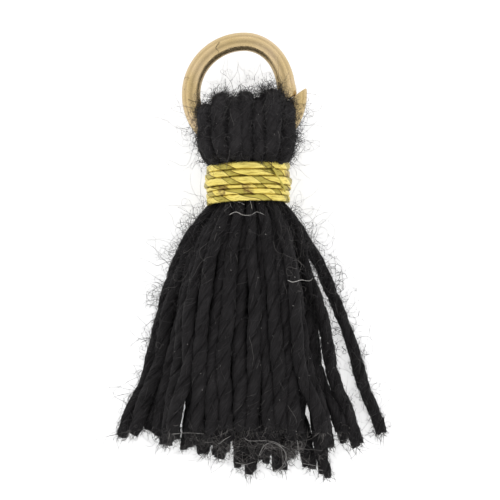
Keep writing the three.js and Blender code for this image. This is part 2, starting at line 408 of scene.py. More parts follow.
# Skirt: strands that fan out from the binding and settle on the surface in rows, lowest row first
ROWS = [15, 14, 11, 10]
FAN_STEPS = 7
NECK_SPREAD = 1.52
FLARE_LEFT = {"bulge": 2.02, "within": 2.0, "spread": 1.74, "bend": 1}
FLARE_RIGHT = {"bulge": 1.45, "within": 1.35, "spread": 1.95, "bend": 1.3}
SKIRT_LENGTH = 11.2
CUT_LINE = -12.0
NECK_SWELL = {"by": 0.5, "within": 0.8}
SETTLED = 3.4
ROW_HEIGHT = {"settled": 1.0, "end": 0.6}
FLOOR_REACH = [0.05, -0.1, 0.4, 0.65, 0.85, 1.1, 1.5, 1.85, 1.3, 1.8, 1.2, 1.6, 2.0, 0.3, -0.15]
REACH_SHARE = [1, 0.62, 0.3, 0]
STRAYS = {
    (0, 0): {"by": -1.1, "from": 8.5, "over": 2.4, "slim": 0.9},
    (0, 6): {"by": 0.5, "from": 9, "over": 1.5},
    (0, 7): {"by": 0.12, "from": 9, "over": 1.5},
    (0, 8): {"by": 0.15, "from": 9, "over": 1.5},
    (0, 9): {"by": 0.2, "from": 9, "over": 1.5},
    (0, 11): {"by": 0.3, "from": 9.8, "over": 1.2},
    (0, 12): {"by": -0.5, "from": 9.8, "over": 1.2},
    (0, 13): {"by": 0.5, "from": 9, "over": 1.2},
    (0, 14): {"by": 3.18, "from": 2.05, "over": 14, "slim": 0.81},
    (1, 0): {"by": -0.45, "from": 7.5, "over": 1.5, "sinks": 0.3},
    (1, 12): {"by": 0.6, "from": 9, "over": 1.2, "sinks": 0, "longer": -0.8},
    (1, 13): {"by": 0.42, "from": 7.8, "over": 1.4, "sinks": 0, "longer": 0.52, "slim": 0.96},
}
NO_STRAY = {"by": 0, "from": 0, "over": 1, "sinks": 0}
PARTING_REACH = 2.5
PAST_THE_ENDS = 20
PARTINGS = [
    {"fan": -0.607, "by": 0.2, "from": 7.5, "full": 9.5, "until": PAST_THE_ENDS},
    {"fan": 0.607, "by": 0.28, "from": 8.2, "full": 10, "until": PAST_THE_ENDS},
    {"fan": 0.893, "by": 0.185, "from": 3.2, "full": 5.5, "until": 7.3},
]
PARTING_CLOSES_OVER = 2

# Yarn
YARN_RADIUS = 0.35
NECK_YARN_RADIUS = 0.225
TWIST_PITCH = 2.95
SKIRT_PLY = {"radial": 0.62, "sideways": 0.84, "offset": 0.42}
HEAD_PLY = {"radial": 0.84, "sideways": 1.12, "offset": 0.24}
END_TAPER = {"share": 0.82, "over": 0.3}
PLY_SIDES = 10
YARN_STEP = 0.2

# Seeds: each loop of yarn has random numbers of its own, so that a change in one leaves the others alone
YARN_SEED = 7
BINDING_SEED = 3
FUZZ_SEED = 11

# How a strand wanders where it is free: an axis, how far and over what length, and how far in the head
WANDERS = [(0, 0.085, 3.2), (2, 0.05, 2.6)]
HEAD_WANDER = 0.06


def flare(below, fan):
    """How far the outermost strands stand from the middle line, on the fan's left or right."""
    keys = ("bulge", "within", "spread", "bend")
    bulge, within, spread, bend = (np.where(fan < 0, FLARE_LEFT[key], FLARE_RIGHT[key]) for key in keys)
    opened = bulge * (1 - np.exp(-below / within))
    return NECK_SPREAD + opened + spread * (np.maximum(below, 0) / SKIRT_LENGTH) ** bend


def parting_shift(below, fan):
    shift = 0
    for parting in PARTINGS:
        opening = smoothstep(below, parting["from"], parting["full"])
        closing = smoothstep(below, parting["until"], parting["until"] + PARTING_CLOSES_OVER)
        away = abs(fan - parting["fan"]) * flare(below, fan)
        side = math.copysign(parting["by"], fan - parting["fan"])
        shift = shift + side * opening * (1 - closing) * np.exp(-away / PARTING_REACH)
    return shift


def row_height(below):
    along = np.clip((below - SETTLED) / (SKIRT_LENGTH - SETTLED), 0, 1)
    return lerp(ROW_HEIGHT["settled"], ROW_HEIGHT["end"], along)


def skirt_height(below, level, row, lowest):
    spread = NECK_SPREAD + NECK_SWELL["by"] * (1 - np.exp(-below / NECK_SWELL["within"]))
    in_neck = AXIS_HEIGHT + level * spread
    in_rows = lowest + row * row_height(below)
    return lerp(in_neck, in_rows, smoothstep(below, 0, SETTLED))


def strand_reach(row, fan):
    place = (fan + 1) * FAN_STEPS
    near = FLOOR_REACH[math.floor(place)]
    after = FLOOR_REACH[math.ceil(place)]
    return REACH_SHARE[row] * lerp(near, after, place % 1)


def row_pitch(below):
    return np.minimum(flare(below, -1), flare(below, 1)) / FAN_STEPS


def yarn_radius(below):
    """The yarn's radius: squeezed in the neck, and a little where its row is crowded."""
    crowded = lerp(0.27, YARN_RADIUS, smoothstep(row_pitch(below), 0.35, 0.62))
    return lerp(NECK_YARN_RADIUS, crowded, smoothstep(below, 0, 1.8))


def stagger(below):
    """How far neighbours in one row part in height where their row is narrower than the yarn."""
    wanted = 1.85 * yarn_radius(below)
    short = np.maximum(0, wanted**2 - row_pitch(below) ** 2)
    return 0.5 * np.sqrt(short) * smoothstep(below, 0.8, SETTLED)


class Strand:
    def __init__(self, row, place):
        self.row = row
        self.place = place
        self.fan = (place - (ROWS[row] - 1) / 2) / FAN_STEPS
        share = (row + 0.25 + 0.5 * (place % 2)) / len(ROWS)
        self.level = (2 * share - 1) * math.sqrt(1 - self.fan**2)
        self.stray = STRAYS.get((row, place), NO_STRAY)
        self.length = BINDING_BOTTOM - CUT_LINE + strand_reach(row, self.fan) + self.stray.get("longer", 0)

    def radius(self, below):
        return yarn_radius(below) * lerp(1, self.stray.get("slim", 1), smoothstep(below, 3.5, 6))

    def route(self, below):
        """The strand's middle line at distances below the binding."""
        stray = self.stray
        aside = 1 - np.exp(-np.maximum(0, below - stray["from"]) / stray["over"])
        shift = parting_shift(below, self.fan) + aside * stray["by"]
        aside = aside * stray.get("sinks", 1)
        side = 1 if self.place % 2 else -1
        rise = stagger(below) * (side if self.row else side + 1)
        x = self.fan * flare(below, self.fan) + shift
        z = skirt_height(below, self.level, self.row * (1 - aside), self.radius(below)) + rise * (1 - aside)
        return points_at(x, BINDING_BOTTOM - below, z)


# Head: layers of loops over the ring's wire, outermost first, with the loops of each from left to right
COLUMN_PLACES = [-1.9, -1.25, -0.6, -0.02, 0.58, 1.18, 1.9]
HEAD_ROUNDNESS = 2.9
HEAD_HALF_DEPTH = 2.45
CROWNS = [3.78, 4.3, 4.1, 4.36, 4.1, 4.42, 3.94]
LAYERS = [
    {"name": "yarn_outer", "loops": 7, "inwards": 0.0},
    {"name": "yarn_second", "loops": 6, "inwards": 0.33},
    {"name": "yarn_third", "loops": 7, "inwards": 0.75},
    {"name": "yarn_inner", "loops": 5, "inwards": 1.2},
]
CROWN_DROP = 0.55
HEAD_SHIFT = -0.03
PINCH_HEIGHTS = [0.6, 0.86, 1.0, 1.27, 1.7, 2.1]
PINCH_SHARES = [0.6, 0.68, 0.82, 0.91, 0.98, 1.0]


def head_route(column, inwards):
    """A loop's way from the binding up the front, over the wire and down the back."""
    x = np.interp(column, np.arange(7) - 3, COLUMN_PLACES)
    crown = np.interp(column, np.arange(7) - 3, CROWNS) - YARN_RADIUS - CROWN_DROP * inwards
    half = min(HEAD_HALF_DEPTH, 1.03 * HEAD_HALF_DEPTH * math.sqrt(1 - (x / HEAD_ROUNDNESS) ** 2))
    depth = max(0.45, half - YARN_RADIUS - inwards)
    arch = 0.5 * depth + 0.35
    shoulder = crown - arch
    turn = np.linspace(0, math.pi, 17)
    arch_y = shoulder + arch * np.sin(turn)
    arch_z = depth * np.cos(turn)
    up = np.linspace(PINCH_HEIGHTS[0], shoulder, 12)[:-1]
    y = np.concatenate([up, arch_y, up[::-1]])
    z = np.concatenate([np.full(len(up), depth), arch_z, np.full(len(up), -depth)])
    narrowed = np.interp(y, PINCH_HEIGHTS, PINCH_SHARES)
    shift = HEAD_SHIFT * smoothstep(y, PINCH_HEIGHTS[0], PINCH_HEIGHTS[-1])
    return points_at(x * narrowed + shift, y, AXIS_HEIGHT + z * narrowed)


def pair_up():
    """Front and back strands joined into loops, each with its column and layer in the head."""
    strands = [Strand(row, place) for row in range(len(ROWS)) for place in range(ROWS[row])]
    strands.sort(key=lambda strand: strand.level)
    half = len(strands) // 2
    back = strands[:half]
    front = strands[half:][::-1]
    loops = []
    for layer in LAYERS:
        count = layer["loops"]
        fronts = sorted(front[:count], key=lambda strand: strand.fan)
        backs = sorted(back[:count], key=lambda strand: strand.fan)
        front = front[count:]
        back = back[count:]
        for index in range(count):
            column = index - (count - 1) / 2
            loops.append((fronts[index], backs[index], column, layer))
    return loops


# One ply as drawn: its rings of points, middle line and direction
Ply = namedtuple("Ply", ["rings", "middle", "tangent"])


def loop_path(front, back, column, inwards):
    down_front = np.linspace(front.length, 0.05, 70)
    down_back = np.linspace(0.05, back.length, 70)
    head = head_route(column, inwards)
    path = np.concatenate([front.route(down_front), head, back.route(down_back)])
    head_radius = np.full(len(head), YARN_RADIUS)
    radius = np.concatenate([front.radius(down_front), head_radius, back.radius(down_back)])
    in_head = smoothstep(path[:, 1], BINDING_TOP, BINDING_TOP + 0.45)
    above = path[:, 1] > BINDING_BOTTOM
    radius = np.where(above, lerp(NECK_YARN_RADIUS, 0.97 * YARN_RADIUS, in_head), radius)
    return path, radius


def wander(rng, length, amplitude, wavelength):
    """A smooth random line of the given length, for unevenness along a path."""
    knots = max(4, int(length * YARN_STEP / wavelength) + 2)
    values = rng.normal(scale=amplitude, size=knots)
    at = np.linspace(0, knots - 1, length)
    low = np.floor(at).astype(int).clip(0, knots - 2)
    share = smoothstep(at - low, 0, 1)
    return values[low] * (1 - share) + values[low + 1] * share


def make_yarn(material):
    plies = []
    batches = {layer["name"]: Batch() for layer in LAYERS}
    for number, (front, back, column, layer) in enumerate(pair_up()):
        rng = np.random.default_rng((YARN_SEED, number))
        path, radius = loop_path(front, back, column, layer["inwards"])
        path, at, radius = resample(path, YARN_STEP, radius)
        free = smoothstep(BINDING_BOTTOM - path[:, 1], 0.5, 3)
        in_head = smoothstep(path[:, 1], BINDING_TOP + 0.2, BINDING_TOP + 0.9)
        for axis, amplitude, wavelength in WANDERS:
            path[:, axis] += free * wander(rng, len(path), amplitude, wavelength)
            path[:, axis] += in_head * wander(rng, len(path), HEAD_WANDER, wavelength)
        path[:, 2] = np.maximum(path[:, 2], radius)
        radius = radius * rng.normal(1, 0.035) * (1 + wander(rng, len(path), 0.04, 3))
        u, v = normals_along(path, np.array([1.0, 0, 0]))
        pitch = TWIST_PITCH * (1 + wander(rng, len(path), 0.1, 4))
        twist = rng.uniform(0, TURN) + np.cumsum(TURN * YARN_STEP / pitch)
        around = circle(PLY_SIDES) + math.pi
        keys = ("offset", "radial", "sideways")
        offset, radial, sideways = (radius * lerp(SKIRT_PLY[key], HEAD_PLY[key], in_head) for key in keys)
        for ply in range(2):
            phase = (twist + ply * math.pi)[:, None]
            outwards = np.cos(phase) * u + np.sin(phase) * v
            middle = path + outwards * offset[:, None]
            heading = unit(np.gradient(middle, axis=0))
            across = np.cross(heading, outwards)
            to_end = np.minimum(at, at[-1] - at)
            thick = 1 + wander(rng, len(path), 0.05, 1.2)
            thick = thick * lerp(END_TAPER["share"], 1, smoothstep(to_end, 0, END_TAPER["over"]))
            out = (radial * thick)[:, None] * np.cos(around)
            aside = (sideways * thick)[:, None] * np.sin(around)
            rings = rings_round(middle, out, outwards, aside, across)
            uneven = 1 + rng.normal(scale=0.035, size=rings.shape[:2])
            rings = middle[:, None] + (rings - middle[:, None]) * uneven[..., None]
            start = rng.uniform(0, 100)
            span = np.linspace(0, TURN * 0.25, PLY_SIDES + 1) + start
            cut = slice(*rng.integers([0, len(at) - 1], [2, len(at) + 1]))
            batches[layer["name"]].add_tube(rings[cut], at[cut] + start, span)
            plies.append(Ply(rings[cut], middle[cut], heading[cut]))
    for name, batch in batches.items():
        batch.make(name, material, "yarn", ["tassel"])
    return plies, list(batches.values())


# Fuzz
FIBRE_SIDE = np.array([0.31, 0.52, 0.79])


def fibre_mesh(name, paths, radii, shades, material):
    """Thin three-sided fibres, pointed at both ends: paths (count, points, 3), a radius and a shade each."""
    count, points = paths.shape[:2]
    u, v = normals_along(paths, unit(np.cross(unit(paths[:, 1] - paths[:, 0]), FIBRE_SIDE)))
    inner = paths[:, 1:-1]
    around = np.arange(3) * TURN / 3
    taper = np.linspace(1, 0.5, points - 2)[None, :, None, None] * radii[:, None, None, None]
    cos = np.cos(around)[None, None, :, None]
    sin = np.sin(around)[None, None, :, None]
    rings = inner[:, :, None] + taper * (cos * u[:, 1:-1, None] + sin * v[:, 1:-1, None])
    tips = paths[:, [0, -1]]
    each = 3 * (points - 2) + 2
    vertices = np.concatenate([rings.reshape(count, -1, 3), tips], axis=1).reshape(-1, 3)
    quads = at_corners(np.arange(points - 2)[:, None] * 3 + np.arange(4) % 3)
    last = 3 * (points - 3)
    tip = 3 * (points - 2)
    triangles = [[tip, (side + 1) % 3, side] for side in range(3)]
    triangles += [[tip + 1, last + side, last + (side + 1) % 3] for side in range(3)]
    offsets = (np.arange(count) * each)[:, None, None]
    faces = (quads[None] + offsets).reshape(-1, 4).tolist()
    faces += (np.array(triangles)[None] + offsets).reshape(-1, 3).tolist()
    corners = np.concatenate([np.repeat(shades, 4 * len(quads)), np.repeat(shades, 3 * len(triangles))])
    uvs = np.stack([corners, np.full(len(corners), 0.5)], axis=-1)
    make_piece(name, vertices, faces, uvs, material, ["tassel"])


def varied_fibres(rng, name, paths, radii, shades, material):
    """Fibres with a radius and a shade drawn from two ranges."""
    count = len(paths)
    fibre_mesh(name, paths, rng.uniform(*radii, size=count), rng.uniform(*shades, size=count), material)


def curly_paths(rng, starts, headings, lengths, curl, points):
    """Fibres that bend round an axis each, at a rate in radians a millimetre that keeps changing."""
    count = len(starts)
    step = (lengths / (points - 1))[:, None]
    axis = unit(rng.normal(size=(count, 3)))
    rate = rng.normal(scale=curl, size=(count, 1))
    paths = np.empty((count, points, 3))
    paths[:, 0] = starts
    heading = headings
    for index in range(1, points):
        axis = unit(axis + rng.normal(scale=0.9, size=(count, 3)) * np.sqrt(step))
        rate = rate + rng.normal(scale=0.7 * curl, size=(count, 1)) * np.sqrt(step)
        heading = unit(heading + np.cross(axis, heading) * rate * step)
        paths[:, index] = paths[:, index - 1] + heading * step
    paths[..., 2] = np.maximum(paths[..., 2], FIBRE_REST)
    return paths


class Yarn:
    """All plies laid end to end: a place on them is an index along and a side round."""

    def __init__(self, plies, batches):
        self.plies = plies
        self.rings = np.concatenate([ply.rings for ply in plies])
        self.middle = np.concatenate([ply.middle for ply in plies])
        self.tangent = np.concatenate([ply.tangent for ply in plies])
        sizes = [len(ply.middle) for ply in plies]
        ends = np.cumsum(sizes)
        self.first = np.repeat(ends - sizes, sizes)
        self.last = np.repeat(ends - 1, sizes)
        points = np.concatenate([chunk for batch in batches for chunk in batch.points])
        faces = []
        offset = 0
        for batch in batches:
            faces.extend([[index + offset for index in face] for face in batch.faces])
            offset += batch.count
        self.tree = BVHTree.FromPolygons(points.tolist(), faces)

    def place(self, rings, sides):
        """Points on the surface, and their normals."""
        places = self.rings[rings, sides]
        return places, unit(places - self.middle[rings])

    def outside(self, rng, count, chance, clear=0.8):
        """Places that see out, each kept with the chance given for its point and normal."""
        found = []
        while len(found) < count:
            rings = rng.integers(0, len(self.middle), size=4 * count)
            sides = rng.integers(0, PLY_SIDES, size=4 * count)
            places, normals = self.place(rings, sides)
            kept = rng.random(4 * count) < chance(places, normals)
            for index in np.flatnonzero(kept):
                start = Vector(places[index] + normals[index] * 0.03)
                if self.tree.ray_cast(start, Vector(normals[index]), clear)[0] is None:
                    found.append((rings[index], sides[index]))
                    if len(found) == count:
                        break
        rings, sides = np.array(found).T
        return rings, sides

    def hugging(self, rng, rings, sides, lengths, lift, drift, points):
        """Fibres that lie along the surface, drift round it and arch a little off it."""
        share = np.linspace(0, 1, points)
        sense = rng.choice([-1, 1], size=(len(rings), 1))
        along = rings[:, None] + sense * lengths[:, None] / YARN_STEP * share
        along = np.clip(along, self.first[rings][:, None], self.last[rings][:, None] - 0.001)
        turned = sides[:, None] + rng.normal(scale=drift, size=(len(rings), 1)) * share
        low = np.floor(along).astype(int)
        step = (along - low)[..., None]
        side = np.floor(turned).astype(int)
        part = (turned - side)[..., None]
        here, after = side % PLY_SIDES, (side + 1) % PLY_SIDES
        below = lerp(self.rings[low, here], self.rings[low, after], part)
        above = lerp(self.rings[low + 1, here], self.rings[low + 1, after], part)
        surface = lerp(below, above, step)
        outwards = unit(surface - lerp(self.middle[low], self.middle[low + 1], step))
        arch = rng.exponential(lift, size=(len(rings), 1)) * np.sin(math.pi * share)
        paths = surface + outwards * (0.004 + arch)[..., None]
        paths[..., 2] = np.maximum(paths[..., 2], FIBRE_REST)
        return paths

    def height_at(self, x, y):
        """The height of the yarn's top over a point, or of the surface that it lies on."""
        hit = self.tree.ray_cast(Vector((x, y, 9)), Vector((0, 0, -1)), 9)[0]
        return max(0, hit.z) if hit is not None else 0


FIBRE_REST = 0.012
FINE = (0.007, 0.012)
DOWN = (0.007, 0.013)
LONG = (0.0065, 0.0095)
THICK = (0.01, 0.015)
BETWEEN_LOOPS_WITHIN = 1.75


def on_head(places, normals):
    """Densest on the sides and the top, and sparser on the back."""
    x, y, _ = places.T
    edge = np.maximum(smoothstep(np.abs(x), 1.3, 2.3), 0.3 * smoothstep(y, 3.2, 4.2))
    chance = 0.3 + 0.7 * edge
    return np.where(y > BINDING_TOP + 0.05, chance * np.where(normals[:, 2] < -0.4, 0.5, 1), 0)


def between_loops(places, normals):
    """On the sides of the head's loops, where fibres felt them to their neighbours."""
    inside = np.abs(places[:, 0]) < BETWEEN_LOOPS_WITHIN
    return on_head(places, normals) * inside * (np.abs(normals[:, 0]) > 0.45) * (normals[:, 2] > 0)


def share_aside(places, side):
    """How far places are from the middle line, as a share of the skirt's half width on a side."""
    below = np.maximum(BINDING_BOTTOM - places[:, 1], 0)
    return np.abs(places[:, 0]) / np.maximum(flare(below, side), 1)


def on_shoulders(places, normals):
    """On the upper side of the skirt, to the right and left below the binding, and of the head."""
    x, y, _ = places.T
    below = BINDING_BOTTOM - y
    skirt = smoothstep(share_aside(places, x), 0.35, 0.7) * (below > 0) * (1 - smoothstep(below, 3, 5.5))
    skirt = skirt * np.where(x > 0, 1, 0.5)
    head = 0.8 * smoothstep(np.abs(x), 0.5, 1.2) * (y > BINDING_TOP)
    return (skirt + head) * (normals[:, 2] > 0.2)


def on_skirt(places, normals):
    """Densest just below the binding and along both sides, and sparser on the back."""
    x, y, _ = places.T
    below = BINDING_BOTTOM - y
    side = smoothstep(share_aside(places, 1), 0.75, 1)
    neck = 1 - smoothstep(below, 0.4, 3.4)
    right = smoothstep(x, 0.8, 1.6) * (1 - smoothstep(below, 4, 6))
    chance = 0.3 + 0.5 * side + 0.35 * neck + 0.3 * right
    return np.where(below > 0, chance * np.where(normals[:, 2] < -0.4, 0.45, 1), 0)


def on_edges(places, normals):
    """On the outline as seen from above: the skirt's sides, most of all near its top, and the head."""
    x, y, _ = places.T
    below = BINDING_BOTTOM - y
    side = smoothstep(share_aside(places, x), 0.84, 0.97)
    skirt = side * lerp(0.3, 1, 1 - smoothstep(below, 3.5, 8))
    head = 0.6 * np.maximum(smoothstep(np.abs(x), 1.8, 2.2), 0.7 * smoothstep(y, 3.5, 4))
    chance = np.where(below > 0, skirt, np.where(y > BINDING_TOP, head, 0))
    return np.where(np.abs(normals[:, 2]) < 0.7, chance, 0)


def evenly_on_skirt(places, normals):
    return (places[:, 1] < BINDING_BOTTOM) * np.where(normals[:, 2] < -0.4, 0.4, 1)


CURL_ROOT = 0.02
DOWN_LENGTHS = (0.35, 0.95)
DOWN_POINTS = 6


def make_curls(rng, yarn, name, chance, count, lift, lengths, curl, points, material, shades, radii=FINE):
    """Stray fibres that stand off the yarn and curl."""
    rings, sides = yarn.outside(rng, count, chance)
    places, normals = yarn.place(rings, sides)
    sense = rng.choice([-1.0, 1.0], size=(count, 1))
    rise = rng.exponential(lift, size=(count, 1))
    headings = unit(yarn.tangent[rings] * sense + normals * rise + rng.normal(scale=0.35, size=(count, 3)))
    shortest, longest = lengths
    length = rng.gamma(3, (longest - shortest) / 3, size=count).clip(0, 2 * longest) + shortest
    paths = curly_paths(rng, places - normals * CURL_ROOT, headings, length, curl, points)
    varied_fibres(rng, name, paths, radii, shades, material)


def make_down(rng, yarn, name, chance, count, lift, drift, material, shades):
    """Fibres of the yarn's own surface."""
    rings, sides = yarn.outside(rng, count, chance, clear=0.25)
    lengths = rng.uniform(*DOWN_LENGTHS, size=count)
    paths = yarn.hugging(rng, rings, sides, lengths, lift, drift, DOWN_POINTS)
    varied_fibres(rng, name, paths, DOWN, shades, material)


def make_end_tufts(rng, yarn, each, material):
    """The fibres that fray from every cut end."""
    starts, headings = [], []
    for ply in yarn.plies:
        for end, sense in ((0, -1), (-1, 1)):
            heading = ply.tangent[end] * sense
            offset = rng.normal(scale=0.12, size=(each, 3))
            starts.append(ply.middle[end] - heading * 0.15 + offset)
            headings.append(unit(heading + rng.normal(scale=0.6, size=(each, 3))))
    starts, headings = np.concatenate(starts), np.concatenate(headings)
    starts[:, 2] = np.maximum(starts[:, 2], FIBRE_REST)
    lengths = 0.22 + rng.gamma(2, 0.13, size=len(starts))
    paths = curly_paths(rng, starts, headings, lengths, 3.5, 7)
    shades = rng.random(len(starts)) ** 1.6
    fibre_mesh("end_tufts", paths, rng.uniform(0.008, 0.014, size=len(starts)), shades, material)


# The tangle on the head's top at the right, and long thin fibres that stand into the ring's hole
TANGLE_PIXELS = np.array([(269, 90.5), (290, 100)])
TANGLE_SHARES = [0.88, 0.12]
TANGLE_SPREADS = np.array([(0.3, 0.15, 0.3), (0.13, 0.14, 0.3)])
TANGLE_HEIGHT = 2.9
TANGLE_FIBRES = 105
LONG_FIBRES = 48
LONG_FIBRE_ROOTS = 4.1


def make_tangle(rng, material):
    which = rng.choice(len(TANGLE_PIXELS), size=TANGLE_FIBRES, p=TANGLE_SHARES)
    x, y = on_photo(TANGLE_PIXELS[which]).T
    middle = points_at(x, y, TANGLE_HEIGHT)
    starts = middle + rng.normal(size=(TANGLE_FIBRES, 3)) * TANGLE_SPREADS[which]
    headings = unit(rng.normal(size=(TANGLE_FIBRES, 3)) + np.array([-0.1, 0.2, 0.2]))
    lengths = 0.6 + rng.gamma(3, 0.25, size=TANGLE_FIBRES)
    tangle = curly_paths(rng, starts, headings, lengths, 9, 16)
    x = rng.uniform(-1.4, 1.5, size=LONG_FIBRES)
    z = rng.uniform(2.2, 3.4, size=LONG_FIBRES)
    starts = points_at(x, LONG_FIBRE_ROOTS, z)
    headings = unit(rng.normal(size=(LONG_FIBRES, 3)) * np.array([0.5, 0.2, 0.25]) + np.array([0, 1, 0]))
    lengths = rng.uniform(0.8, 2.6, size=LONG_FIBRES)
    long = curly_paths(rng, starts, headings, lengths, 4.5, 16)
    paths = np.concatenate([tangle, long])
    radii = np.concatenate([rng.uniform(0.005, 0.009, size=TANGLE_FIBRES), np.full(LONG_FIBRES, 0.005)])
    fibre_mesh("head_tangle", paths, radii, rng.uniform(0, 0.6, size=len(paths)), material)


# Loose fibres that tangle between the ends of the lower strands
END_TANGLE_SPAN = (-2.4, 2.6)
END_TANGLE_LINE = -12.35
END_TANGLE_SLOPE = 0.12
END_TANGLE_HEIGHTS = (0.8, 1.9)
END_TANGLE_FIBRES = 230


def make_end_tangle(rng, material):
    count = END_TANGLE_FIBRES
    x = rng.uniform(*END_TANGLE_SPAN, size=count)
    y = END_TANGLE_LINE - END_TANGLE_SLOPE * x + rng.normal(scale=0.22, size=count)
    starts = points_at(x, y, rng.uniform(*END_TANGLE_HEIGHTS, size=count))
    headings = unit(rng.normal(size=(count, 3)) * np.array([1, 0.7, 0.35]))
    lengths = 0.7 + rng.gamma(3, 0.35, size=count)
    paths = curly_paths(rng, starts, headings, lengths, 4, 20)
    shades = rng.uniform(0.3, 1, size=count)
    radii = rng.uniform(0.008, 0.012, size=count)
    fibre_mesh("end_tangle", paths, radii, shades, material)


# Pale hairs that lie on the charm, and dark ones that cling to the ring, as the pixels that they pass
PALE_HAIRS = [
    [(244, 438), (250, 441), (267, 441), (278, 444), (286, 455), (285, 466), (278, 472)],
    [(258, 458), (264, 446), (273, 443), (284, 450), (286, 458), (281, 468), (272, 471), (262, 464)],
    [(278, 444), (289, 450), (295, 458), (289, 464), (278, 472)],
    [(235, 463), (245, 465), (256, 462)],
    [(215, 440), (219, 444), (224, 440), (231, 436)],
    [(303, 464), (308, 465), (320, 467)],
    [(305, 468), (314, 470), (323, 471)],
    [(333, 439), (341, 441), (352, 443)],
    [(297, 440), (298, 450), (295, 458)],
    [(172, 434), (188, 433), (205, 434)],
    [(229, 215), (236, 212), (243, 215), (251, 215), (257, 212), (265, 215)],
    [(250, 200), (251, 204), (252, 209)],
    [(230, 203), (231, 206), (233, 209)],
    [(238, 202), (241, 203), (245, 205)],
    [(287, 280), (293, 282), (301, 280), (309, 281), (313, 278)],
]
RING_HAIRS = [
    [(220, 41), (217, 45), (216, 48), (219, 51), (218, 53)],
    [(188, 99), (193, 101), (200, 103)],
    [(184, 79), (186, 77), (189, 77)],
]
HAIR_POINTS = 24
HAIR_BRIDGE = 4
HAIR_SMOOTHING = 3
HAIR_LIFT = 0.04
RING_HAIR_RADIUS = 0.013


def on_photo(pixels):
    """Millimetres to the right of the charm's middle line and up from its origin, as seen."""
    return (pixels - AXIS_PIXEL) * np.array([PIXEL, -PIXEL])


def smooth_way(pixels):
    """A smooth line through a few pixels, as HAIR_POINTS points in millimetres on the photograph."""
    pixels = np.array(pixels, float)
    at = np.linspace(0, len(pixels) - 1, HAIR_POINTS)
    ends = np.concatenate([[2 * pixels[0] - pixels[1]], pixels, [2 * pixels[-1] - pixels[-2]]])
    low = np.floor(at).astype(int).clip(0, len(pixels) - 2)
    t = (at - low)[:, None]
    before, start, finish, after = (ends[low + number] for number in range(4))
    bent = 2 * before - 5 * start + 4 * finish - after
    cubed = 3 * (start - finish) + after - before
    smooth = 0.5 * (2 * start + (finish - before) * t + bent * t**2 + cubed * t**3)
    return on_photo(smooth)


def seen_at(way, height):
    """The points at a height that the camera sees where a way runs."""
    y = way[:, 1] - (height - AXIS_HEIGHT) * math.tan(CAMERA_TILT)
    return points_at(way[:, 0], y, height)


def lay_hair(yarn, pixels):
    """A hair that lies on what is highest along its way, and bridges the gaps between strands."""
    way = smooth_way(pixels)
    height = np.full(len(way), 1.5)
    window = np.ones(2 * HAIR_SMOOTHING + 1) / (2 * HAIR_SMOOTHING + 1)
    for _ in range(3):
        points = seen_at(way, height)
        found = np.array([yarn.height_at(x, y) for x, y, _ in points])
        padded = np.pad(found, HAIR_BRIDGE, mode="edge")
        shifted = [padded[index : index + len(found)] for index in range(2 * HAIR_BRIDGE + 1)]
        bridged = np.pad(np.max(shifted, axis=0), HAIR_SMOOTHING, mode="edge")
        height = np.convolve(bridged, window, mode="valid")
    return seen_at(way, height + HAIR_LIFT)


def make_hairs(rng, yarn, pale, dark):
    laid = np.array([lay_hair(yarn, pixels) for pixels in PALE_HAIRS])
    varied_fibres(rng, "pale_hairs", laid, (0.01, 0.015), (0.2, 1), pale)
    ring = np.array([seen_at(smooth_way(pixels), RING_HAIR_HEIGHT) for pixels in RING_HAIRS])
    fibre_mesh("ring_hairs", ring, np.full(len(ring), RING_HAIR_RADIUS), np.zeros(len(ring)), dark)


# Painted glints: pale bits of fibre whose colour stands for highlights on the yarn
PAINTED_GLINTS = 120


def make_painted_glints(rng, yarn, pale):
    """Short pale bits of fibre whose colour paints glints: painted highlights on the yarn."""
    rings, sides = yarn.outside(rng, PAINTED_GLINTS, lambda places, normals: normals[:, 2] > 0.5)
    places, normals = yarn.place(rings, sides)
    headings = unit(rng.normal(size=(PAINTED_GLINTS, 3)))
    paths = curly_paths(rng, places + normals * 0.015, headings, rng.uniform(0.04, 0.1, size=PAINTED_GLINTS), 4, 5)
    varied_fibres(rng, "painted_glint_specks", paths, (0.008, 0.016), (0, 1), pale)


